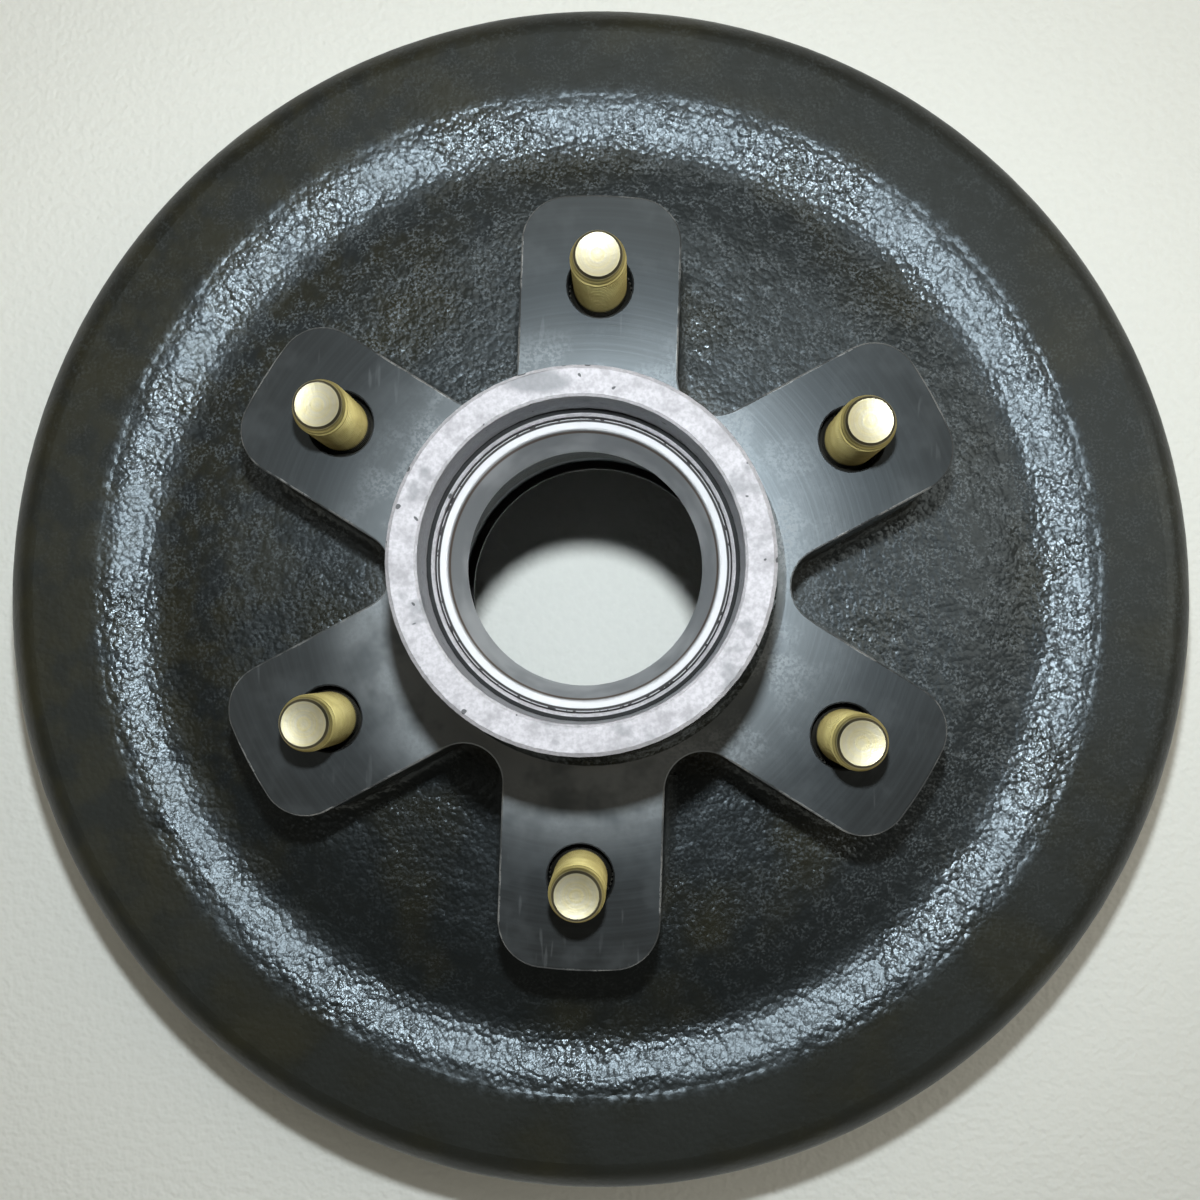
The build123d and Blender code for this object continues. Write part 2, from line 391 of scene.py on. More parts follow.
@dataclass(frozen=True)
class CastingFinish:
    """Black dip paint on sand-cast iron, thinner on the machined pads, with bare machined faces."""

    hub_top: float               # heights and radii in millimetres, from the frame
    pad_z: float
    cap_bore_r: float
    cap_floor: Pair = (30.15, 168.4)          # inner radius and height of the cap bore's floor
    brake_r: float = 152.4
    brake_top_z: float = 59.2
    magnet_r: Pair = (91.8, 127.7)
    magnet_z: float = 60.0
    hub_foot: Pair = (53.0, 24.0)
    seal_r: float = 43.9
    cup_seat_z: float = 56.0
    outer_seat_z: float = 155.9
    pad_half_w: float = 19.0
    pad_end_r: float = 91.5
    pad_corner: float = 11.0
    ring_start: Pair = (131.0, 139.0)
    notch_r: Pair = (64.0, 52.0)              # the notches between the pads begin and are full here
    notch_z: float = 64.0
    scuff_r: Pair = (64.0, 42.0)              # wear of the pads beside the hub, from its end inwards
    # the pads lighten towards the hub between these radii: partly worn paint, partly a painted
    # highlight of the lamp's reflection
    wear_and_highlight_r: Pair = (72.0, 43.0)
    # rubbed paint and painted light on the lower and left pads, beside the hub
    rubbed_and_lit_r: Pair = (68.0, 44.0)
    stain_place: Pair = (-9.8, 33.4)          # on the hub's face
    stain_half: Pair = (7.0, 2.4)
    grains: tuple[Pair, Pair] = ((1.7, -0.22), (0.95, -0.08))   # width and height, in millimetres
    lumps: Pair = (7.0, 0.48)
    grain_on_web: Pair = (0.75, 1.25)         # how strong the grain is, where dry and where wet
    grain_on_ring: float = 0.21
    web_rough: Pair = (0.36, 0.27)            # roughness where the paint is dry and where it is wet
    ring_rough: Pair = (0.46, 0.38)
    pad_rough: Pair = (0.32, 0.28)
    notch_rough: float = 0.6
    scuff_rough: float = 0.52
    iron_rough: Pair = (0.72, 0.20)           # its least value and its gain in the clouds
    cap_wall_rough: float = 0.50
    iron_metal: float = 0.55
    worn_metal: float = 0.6
    lathe_mm: Pair = (0.03, 0.012)            # depth of the lathe's lines on bare iron and on the pads
    sheen: Colour = (0.80, 0.92, 1.0)
    paint: Colour = (0.0050, 0.0060, 0.0060)
    ring_paint: Colour = (0.0088, 0.0086, 0.0056)
    pad_paint: Colour = (0.0100, 0.0098, 0.0092)
    wall_start: Pair = (158.0, 161.0)
    # the same black paint, lighter on the outer wall: painted light for the dimly lit sides
    wall_paint_lightened: Colour = (0.0190, 0.0195, 0.0180)
    # dust, and painted sheen where it lies thickest, towards the upper right
    dust_and_painted_sheen: Colour = (0.021, 0.024, 0.025)
    grit: Colour = (0.090, 0.101, 0.107)
    olive: Colour = (0.021, 0.018, 0.007)
    # painted shade: the brown of the notches beside the hub, where the fillets lie in shade
    ochre_notch_shade: Colour = (0.034, 0.025, 0.010)
    pad_lines: Colour = (0.022, 0.024, 0.024)
    pad_cloud: Colour = (0.026, 0.027, 0.027)
    pad_wear_and_highlight: Colour = (0.092, 0.098, 0.100)
    pad_rubbed_and_lit: Colour = (0.19, 0.195, 0.195)
    scuff: Colour = (0.145, 0.150, 0.152)
    edge_metal: Colour = (0.17, 0.17, 0.165)
    iron: Colour = (0.385, 0.368, 0.378)
    iron_grit: Colour = (0.215, 0.205, 0.212)
    iron_cloud: Colour = (0.225, 0.215, 0.222)
    iron_dark: Colour = (0.150, 0.150, 0.155)
    iron_pit: Colour = (0.04, 0.04, 0.04)
    iron_lines: Colour = (0.23, 0.225, 0.225)
    iron_oiled: Colour = (0.20, 0.21, 0.20)
    iron_stain: Colour = (0.16, 0.16, 0.165)
    # near black: dirt, and painted shade inside the hub below the cups
    dirt_and_painted_shade: Colour = (0.012, 0.011, 0.010)

    def material(self) -> bpy.types.Material:
        """Make the casting's material.

        Returns:
            The material.
        """
        s = CastSurface("black_cast_iron")
        pads = self.pad_mask(s)
        iron = self.iron_mask(s)
        cast = (1.0 - pads) * (1.0 - iron)
        ring = s.rise(s.radius, *self.ring_start)
        wet = s.rise(s.broad, 0.40, 0.62)
        worn = self.edge_wear(s)
        scuffed = self.hub_scuff(s)

        coats = (pads, self.pad_colour(s, scuffed, worn)), (iron, self.iron_colour(s))
        colour = s.coated(self.painted(s, ring), *coats)

        web, shoulder, pad = (
            s.between(wet, *ends) for ends in (self.web_rough, self.ring_rough, self.pad_rough)
        )
        paint_rough = s.between(self.notch(s), s.between(ring, web, shoulder), self.notch_rough)
        paint_rough = s.between(pads, paint_rough, s.between(scuffed, pad, self.scuff_rough))
        iron_rough = s.clouded(s.small, *self.iron_rough)
        iron_rough = s.between(self.cap_wall(s), iron_rough, self.cap_wall_rough)
        roughness = s.between(iron, paint_rough, iron_rough)
        metallic = s.largest(iron * self.iron_metal, worn * pads * self.worn_metal)
        coarse = s.between(wet, *self.grain_on_web) * s.between(ring, 1.0, self.grain_on_ring)
        skin = s.relief(self.sand_grain(s), cast * coarse)
        lines = s.largest(iron * self.lathe_mm[0], pads * self.lathe_mm[1])
        turned = s.relief(s.grooves, lines, skin)
        return s.finish(
            {
                "Base Color": colour,
                "Roughness": roughness,
                "Metallic": metallic,
                "Specular Tint": (*self.sheen, 1.0),
                "Normal": turned,
            }
        )

    def sand_grain(self, s: CastSurface) -> Wire:
        """Return the height of the sand grain, coarse and fine, and of its lumps, in millimetres."""
        coarse, fine = (s.grains(s.place, width) * height for width, height in self.grains)
        width, height = self.lumps
        return coarse + fine + s.noise(s.place, width, 1, 0.5) * height

    def painted(self, s: CastSurface, ring: Wire) -> Wire:
        """Colour the black paint, with olive clouds where it is thin, and dust and grit that are
        partly real and partly painted sheen, heaviest towards the upper right.

        Args:
            s: The casting's surface.
            ring: 1 on the shoulder and outside it.

        Returns:
            The colour.
        """
        # dust and painted sheen: the paint is lighter towards the upper right, where the light falls
        dust_and_sheen_side = s.rise(s.x * 0.4 + s.y * 0.9, -100, 20)
        stained = s.rise(s.x * -1.0 + s.y * 0.3, 30, 120) * s.rise(s.middle, 0.40, 0.62)
        grit = s.rise(s.grit, 0.46, 0.66) * s.rise(s.small, 0.34, 0.62) * (dust_and_sheen_side * 0.85 + 0.15)
        return s.coated(
            self.paint,
            (dust_and_sheen_side * 0.6, self.dust_and_painted_sheen),
            (ring, self.ring_paint),
            # painted light: the outer wall wears a lighter copy of the black paint
            (s.rise(s.radius, *self.wall_start), self.wall_paint_lightened),
            (s.rise(s.broad, 0.48, 0.72) * 0.55, self.olive),
            # painted shade: a brown tint in the notches between the pads, where the fillets lie in
            # shade
            (self.notch(s) * s.rise(s.broad, 0.36, 0.60) * 0.8, self.ochre_notch_shade),
            (stained * 0.6, self.olive),
            # bluish grit specks, partly grit and partly painted glints, most towards the upper right
            (grit * s.between(ring, 0.8, 0.18), self.grit),
        )

    def notch(self, s: CastSurface) -> Wire:
        """Return 1 on the web near the hub, in the notches between the pads."""
        return s.rise(s.radius, *self.notch_r) * s.band(s.z, self.notch_z, self.pad_z - 8, 4)

    def hub_scuff(self, s: CastSurface) -> Wire:
        """Return 1 where the paint of a pad is rubbed thin beside the hub."""
        patches = s.rise(s.radius, *self.scuff_r) * s.rise(s.middle, 0.40, 0.66)
        return patches * s.rise(s.grit, 0.36, 0.62)

    def edge_wear(self, s: CastSurface) -> Wire:
        """Find the broken bright line along a pad's edge.

        Args:
            s: The casting's surface.

        Returns:
            1 on the line.
        """
        edge = self.pad_edge_distance(s)
        line = s.math("LESS_THAN", edge, 0.2 + s.small * 0.5) * s.rise(s.radius, 50, 56)
        return line * s.rise(s.middle, 0.44, 0.56) * s.rise(s.grit, 0.30, 0.46)

    def pad_colour(self, s: CastSurface, scuffed: Wire, worn: Wire) -> Wire:
        """Colour the thin paint on the machined pads.

        Args:
            s: The casting's surface.
            scuffed: 1 where the paint is rubbed thin.
            worn: 1 on the bright edge.

        Returns:
            The colour.
        """
        # partly rubbed paint, partly painted light: the lower and left pads, which the lamps leave
        # darker, are lightened
        rubbed = s.rise(s.radius, *self.rubbed_and_lit_r) * s.rise(s.x * -0.5 + s.y * -0.87, 5, 45)
        streak = s.noise(s.vector(s.x * MM, s.y * (0.12 * MM), 0.0), 1.6, 1, 0.6)
        scratches = s.rise(streak, 0.66, 0.74) * s.rise(s.broad, 0.44, 0.58)
        return s.coated(
            self.pad_paint,
            (s.rise(s.grooves, 0.35, 0.7) * 0.35, self.pad_lines),
            (s.rise(s.middle, 0.46, 0.70) * 0.8, self.pad_cloud),
            # worn paint and a painted highlight, lighter towards the hub
            (s.rise(s.radius, *self.wear_and_highlight_r) * 0.8, self.pad_wear_and_highlight),
            (rubbed * s.rise(s.middle, 0.30, 0.55) * 0.6, self.pad_rubbed_and_lit),
            (scuffed, self.scuff),
            (scratches * 0.14, self.scuff),
            (worn, self.edge_metal),
        )

    def iron_colour(self, s: CastSurface) -> Wire:
        """Colour the bare machined iron, with its grain, stains and pits, and dirt and painted shade
        inside the hub.

        Args:
            s: The casting's surface.

        Returns:
            The colour.
        """
        pits = s.rise(s.noise(s.place, 2.0, 0, 0.5), 0.79, 0.82)
        lathe_lines = s.rise(s.grooves, 0.34, 0.66) * s.rise(s.z, 140, 100)
        stain_x, stain_y = self.stain_place
        stain_w, stain_h = self.stain_half
        off = s.length((s.x - stain_x) / stain_w, (s.y - stain_y) / stain_h) + s.small * 0.9
        stain = s.rise(off, 1.65, 1.05) * s.rise(s.z, self.hub_top - 0.3, self.hub_top - 0.1)
        # the floor of the cap bore is darkened
        floor_r, floor_z = self.cap_floor
        on_floor = s.band(s.radius, floor_r, self.cap_bore_r + 0.2)
        on_floor = on_floor * s.rise(s.z, floor_z + 0.9, floor_z + 0.4)
        # painted shade with dirt: the hub's inside below the cups is darkened to near black
        below_cups = s.rise(s.z, self.outer_seat_z - 4, self.outer_seat_z - 8)
        below_cups = below_cups * s.rise(s.radius, 45, 44.5)
        return s.coated(
            self.iron,
            (s.rise(s.grit, 0.30, 0.72) * 0.45, self.iron_grit),
            (s.rise(s.small, 0.46, 0.72) * 0.5, self.iron_cloud),
            (s.rise(s.middle, 0.60, 0.70) * 0.55, self.iron_dark),
            (pits * 0.85, self.iron_pit),
            (lathe_lines * 0.35, self.iron_lines),
            (self.cap_wall(s) * 0.1, self.iron_oiled),
            (stain * 0.75, self.iron_stain),
            (s.largest(on_floor, below_cups), self.dirt_and_painted_shade),
        )

    def cap_wall(self, s: CastSurface) -> Wire:
        """Return 1 on the wall of the cap bore."""
        wall = s.band(s.radius, self.cap_bore_r - 0.25, self.cap_bore_r + 0.1)
        return wall * s.band(s.z, self.cap_floor[1] + 0.9, self.hub_top - 0.8)

    def pad_edge_distance(self, s: CastSurface) -> Wire:
        """Measure how far a point lies inside the edge of its wheel pad.

        Args:
            s: The casting's surface.

        Returns:
            The distance, in millimetres.
        """
        along, across = s.sector(SIXTH)
        past_side = s.largest(abs(across) - (self.pad_half_w - self.pad_corner), 0.0)
        past_end = s.largest(along - (self.pad_end_r - self.pad_corner), 0.0)
        return self.pad_corner - s.length(past_side, past_end)

    def pad_mask(self, s: CastSurface) -> Wire:
        """Return 1 on the machined pad faces."""
        return s.band(s.z, self.pad_z - 0.4, self.pad_z + 0.5) * s.rise(s.radius, 38, 38.5)

    def iron_mask(self, s: CastSurface) -> Wire:
        """Find the bare machined faces, bores and brake surface.

        Args:
            s: The casting's surface.

        Returns:
            1 on bare iron.
        """
        hub_face = s.rise(s.z, self.hub_top - 0.9, self.hub_top - 0.75)
        cap_bore = s.rise(s.radius, self.cap_bore_r + 0.4, self.cap_bore_r + 0.2)
        cap_bore = cap_bore * s.rise(s.z, self.outer_seat_z - 0.2, self.outer_seat_z)
        seal_bore = s.rise(s.radius, self.seal_r + 0.2, self.seal_r)
        seal_bore = seal_bore * s.rise(s.z, self.cup_seat_z + 0.2, self.cup_seat_z)
        foot = s.rise(s.radius, self.hub_foot[0] - 0.8, self.hub_foot[0] - 1.2)
        foot = foot * s.rise(s.z, self.hub_foot[1] + 0.4, self.hub_foot[1] + 0.2)
        brake = s.band(s.radius, self.brake_r - 0.6, self.brake_r + 1.4)
        brake = brake * s.rise(s.z, self.brake_top_z + 0.2, self.brake_top_z)
        magnet = s.band(s.radius, *self.magnet_r)
        magnet = magnet * s.band(s.z, self.magnet_z - 0.2, self.magnet_z + 0.3)
        open_edge = s.rise(s.z, 0.3, 0.15)
        return s.largest(hub_face, cap_bore, seal_bore, foot, brake, magnet, open_edge)


@dataclass(frozen=True)
class ZincFinish:
    """Yellow zinc plate on a wheel stud: olive gold on the thread, paler on the dished tip."""

    tip_z: float                 # millimetres
    circle_r: float
    pad_z: float
    tip_r: float = 4.95
    gold: Colour = (0.40, 0.335, 0.135)
    olive: Colour = (0.22, 0.175, 0.055)
    pale: Colour = (0.31, 0.29, 0.225)
    foot: Colour = (0.13, 0.098, 0.032)
    shade: Colour = (0.07, 0.06, 0.035)
    # dirt and painted shade in the stud's hole
    hole_grime_and_shade: Colour = (0.012, 0.011, 0.008)
    thread_rough: Pair = (0.46, 0.10)         # its least value and its gain in the clouds
    tip_rough: Pair = (0.34, 0.12)
    metallic: float = 0.85

    def material(self) -> bpy.types.Material:
        """Make the studs' material.

        Returns:
            The material.
        """
        s = Surface("yellow_zinc_plate")
        cloud = s.noise(s.place, 6, 3, 0.6)
        along, across = s.sector(SIXTH)
        reach = s.length(along - self.circle_r, across)
        on_tip = s.rise(s.z, self.tip_z - 0.62, self.tip_z - 0.50)
        rings = s.noise(s.vector(reach * MM, 0.0, 0.0), 0.8, 1, 0.5)
        tip_colour = s.coated(
            self.pale,
            (s.rise(rings, 0.35, 0.65) * 0.4, self.gold),
            (s.rise(cloud, 0.45, 0.70) * 0.35, self.olive),
            (s.band(reach, self.tip_r - 0.05, self.tip_r + 0.5), self.shade),
        )
        colour = s.coated(
            self.gold,
            (s.rise(cloud, 0.30, 0.70) * 0.6, self.olive),
            (s.rise(s.z, self.tip_z - 7, self.pad_z) * 0.6, self.foot),
            (on_tip, tip_colour),
            # dirt and painted shade: the stud darkens to near black below the pad face, inside its
            # hole
            (s.rise(s.z, self.pad_z + 0.6, self.pad_z - 2.0), self.hole_grime_and_shade),
        )
        rough = (s.clouded(cloud, *ends) for ends in (self.thread_rough, self.tip_rough))
        roughness = s.between(on_tip, *rough)
        height = s.noise(s.place, 0.8, 1, 0.6) * 0.02 + rings * 0.02
        sockets = {"Base Color": colour, "Roughness": roughness, "Metallic": self.metallic}
        return s.finish({**sockets, "Normal": s.relief(height)})


@dataclass(frozen=True)
class GroundSteelFinish:
    """Ground bearing steel of a cup: bright end face, oiled raceway, outer corner dark with chips and
    painted shade.
    """

    name: str
    mouth_r: float               # millimetres
    seat_r: float
    grease_and_shade_z: float              # height past which old grease and painted shade darken it
    corner: float = 1.2
    steel: Colour = (0.40, 0.395, 0.40)
    race: Colour = (0.46, 0.475, 0.49)
    race_light: Colour = (0.66, 0.67, 0.68)
    brown: Colour = (0.16, 0.095, 0.050)
    dark: Colour = (0.030, 0.028, 0.028)
    face_rough: Pair = (0.70, 0.14)           # its least value and its gain in the oil film
    race_rough: Pair = (0.40, 0.22)
    metal: Pair = (0.45, 0.75)                # metallic on the face and on the raceway

    def material(self) -> bpy.types.Material:
        """Make the cup's material.

        Returns:
            The material.
        """
        s = Surface(self.name)
        film = s.noise(s.place, 20, 3, 0.6)
        raceway = s.rise(s.radius, self.mouth_r - 0.05, self.mouth_r - 0.25)
        lip = s.band(s.radius, self.mouth_r - 0.55, self.mouth_r - 0.25)
        corner_r = self.seat_r - self.corner
        chips = s.rise(s.noise(s.place, 2.2, 2, 0.6), 0.56, 0.62)
        chips = chips * s.rise(s.radius, corner_r + 0.2, corner_r + 0.5)
        # painted shade on the rounded outer corner, with a light ring left between its two dark bands
        corner_shade = s.band(s.radius, corner_r + 0.12, corner_r + 0.62, 0.10)
        outer_corner_shade = s.rise(s.radius, corner_r + 0.78, corner_r + 0.88)
        colour = s.coated(
            self.race,
            (s.rise(film, 0.40, 0.62), self.race_light),
            (1.0 - raceway, self.steel),
            (lip * 0.8, self.brown),
            (s.largest(corner_shade, chips, outer_corner_shade), self.dark),
            # old grease, and painted shade on the inner cup's top, which lies in shade inside the hub
            (s.rise(s.z, self.grease_and_shade_z, self.grease_and_shade_z + 1.5), self.dark),
        )
        lines = s.noise(s.vector(s.radius * MM, 0.0, s.z * MM), 0.35, 2, 0.7)
        rough = (s.clouded(film, *ends) for ends in (self.face_rough, self.race_rough))
        roughness = s.between(raceway, *rough)
        metallic = s.between(raceway, *self.metal)
        sockets = {"Base Color": colour, "Roughness": roughness, "Metallic": metallic}
        return s.finish({**sockets, "Normal": s.relief(lines, 0.006)})


@dataclass(frozen=True)
class FloorFinish:
    """Pale vinyl with a faint pebbled grain and painted shade towards -Y, which fades into the pale
    distance.
    """

    far_colour: Colour
    colour: Colour = (0.83, 0.83, 0.775)
    fade: Pair = (235.0, 640.0)               # radii in millimetres
    near_side: Pair = (60.0, -220.0)          # where it begins to darken and has darkened, on Y
    grain_shade: float = 0.86
    near_shade: float = 0.82

    def darker(self, share: float) -> Colour:
        """Return the floor's colour times a share."""
        return tuple(share * part for part in self.colour)

    def material(self) -> bpy.types.Material:
        """Make the floor's material.

        Returns:
            The material.
        """
        s = Surface("pale_floor")
        grain = s.noise(s.place, 2.6, 1, 0.5)
        grain_coat = (s.rise(grain, 0.4, 0.65) * 0.12, self.darker(self.grain_shade))
        # painted shade: the floor darkens towards -Y
        near_coat = (s.rise(s.y, *self.near_side), self.darker(self.near_shade))
        colour = s.coated(self.colour, grain_coat, near_coat)
        sockets = {"Base Color": colour, "Roughness": 0.75, "Normal": s.relief(grain, 0.55)}
        near = s.add("ShaderNodeBsdfPrincipled", {}, sockets)
        far = s.add("ShaderNodeEmission", {}, {"Color": (*self.far_colour, 1.0), "Strength": 1.0})
        path = s.add("ShaderNodeLightPath")
        seen = s.largest(path, path.other("Is Glossy Ray"), path.other("Is Transmission Ray"))
        mixed = {"Fac": s.rise(s.radius, *self.fade) * seen, "Shader": near, "Shader_001": far}
        s.add("ShaderNodeOutputMaterial", {}, {"Surface": s.add("ShaderNodeMixShader", {}, mixed)})
        return s.material


# ---------------------------------------------------------------- pieces
class Zone(Enum):
    """A kind of surface on the casting: its mesh's longest edge and its skin's depth, in mm."""

    MACHINED = (1000.0, 0.0)
    WEB = (2.2, 0.42)
    RING = (4.5, 0.14)
    PAD_SIDE = (4.0, 0.28)
    WALL = (9.0, 0.12)
    INSIDE = (8.0, 0.25)

    @property
    def spacing(self) -> float:
        """Return the longest edge of the zone's mesh."""
        return self.value[0]

    @property
    def depth(self) -> float:
        """Return about how deep the zone's skin is."""
        return self.value[1]


@dataclass
class FineMesh:
    """Triangles with exact corner normals, which can be split without losing the curve they follow."""

    points: np.ndarray           # metres, one row a vertex
    faces: np.ndarray            # three vertices a triangle
    normals: np.ndarray          # three normals a triangle

    @classmethod
    def copied(cls, mesh: bpy.types.Mesh) -> "FineMesh":
        """Return a copy of a mesh with its loose triangles merged.

        Args:
            mesh: The mesh, of triangles.

        Returns:
            The copy.
        """
        points = table_of(mesh.vertices, "co")
        corners = table_of(mesh.loops, "vertex_index", 1, np.int64)
        normals = table_of(mesh.corner_normals, "vector").reshape(-1, 3, 3)
        places = np.round(points * PLACES_PER_METRE)
        _, first, merged = np.unique(places, axis=0, return_index=True, return_inverse=True)
        faces = merged.reshape(-1)[corners].reshape(-1, 3)
        whole = (faces != np.roll(faces, -1, axis=1)).all(axis=1)
        return cls(points[first], faces[whole], normals[whole])

    def edges(self) -> tuple[np.ndarray, np.ndarray]:
        """Number the edges.

        Returns:
            The vertices of each edge, and the edge that each side of each triangle is.
        """
        nexts = np.roll(self.faces, -1, axis=1)
        total = len(self.points)
        codes = np.minimum(self.faces, nexts) * total + np.maximum(self.faces, nexts)
        found, side_edge = np.unique(codes.reshape(-1), return_inverse=True)
        return np.stack([found // total, found % total], axis=1), side_edge.reshape(-1, 3)

    def split(self, marked: np.ndarray, ends: np.ndarray, side_edge: np.ndarray) -> None:
        """Split the marked edges at points that follow the curve of the surface.

        Args:
            marked: Whether each edge is split.
            ends: The vertices of each edge.
            side_edge: The edge that each side of each triangle is.
        """
        nexts = np.roll(self.faces, -1, axis=1)
        start, end = self.points[self.faces], self.points[nexts]
        normal_a, normal_b = self.normals, np.roll(self.normals, -1, axis=1)
        along = end - start
        lift_a = (along * normal_a).sum(2, keepdims=True) * normal_a
        lift_b = (along * normal_b).sum(2, keepdims=True) * normal_b
        middle = (start + end) / 2 - (lift_a - lift_b) / 8
        total = np.zeros((len(ends), 3))
        count = np.zeros(len(ends))
        np.add.at(total, side_edge.reshape(-1), middle.reshape(-1, 3))
        np.add.at(count, side_edge.reshape(-1), 1)
        new_index = np.full(len(ends), -1)
        new_index[marked] = len(self.points) + np.arange(marked.sum())
        self.points = np.vstack([self.points, total[marked] / count[marked, None]])

        side_normal = normal_a + normal_b
        side_normal /= np.linalg.norm(side_normal, axis=2, keepdims=True)
        split_sides = marked[side_edge]
        faces, normals = [], []
        for shift in range(3):
            tables = (self.faces, side_edge, self.normals, side_normal, split_sides)
            turned = (np.roll(table, -shift, axis=1) for table in tables)
            corner, side, at_corner, at_side, sides = turned
            pool = np.concatenate([corner, new_index[side]], axis=1)
            pool_normals = np.concatenate([at_corner, at_side], axis=1)
            one = sides[:, 0] & ~sides[:, 1] & ~sides[:, 2]
            two = sides[:, 0] & sides[:, 1] & ~sides[:, 2]
            cuts = [(one, (0, 3, 2)), (one, (3, 1, 2))]
            cuts += [(two, (3, 1, 4)), (two, (0, 3, 4)), (two, (0, 4, 2))]
            if shift == 0:
                every = sides.all(axis=1)
                orders = ((0, 3, 5), (3, 1, 4), (5, 4, 2), (3, 4, 5))
                cuts += [(every, order) for order in orders]
                cuts.append((~sides.any(axis=1), (0, 1, 2)))
            for chosen, order in cuts:
                faces.append(pool[chosen][:, order])
                normals.append(pool_normals[chosen][:, order])
        self.faces, self.normals = np.vstack(faces), np.vstack(normals)

    def mesh(self, name: str) -> bpy.types.Mesh:
        """Make a smooth shaded mesh of the triangles.

        Args:
            name: The mesh's name.

        Returns:
            The mesh.
        """
        made = bpy.data.meshes.new(name)
        made.vertices.add(len(self.points))
        made.vertices.foreach_set("co", self.points.reshape(-1))
        made.loops.add(self.faces.size)
        made.loops.foreach_set("vertex_index", self.faces.reshape(-1))
        made.polygons.add(len(self.faces))
        made.polygons.foreach_set("loop_start", np.arange(0, self.faces.size, 3))
        made.polygons.foreach_set("use_smooth", np.ones(len(self.faces), bool))
        made.update(calc_edges=True)
        return made


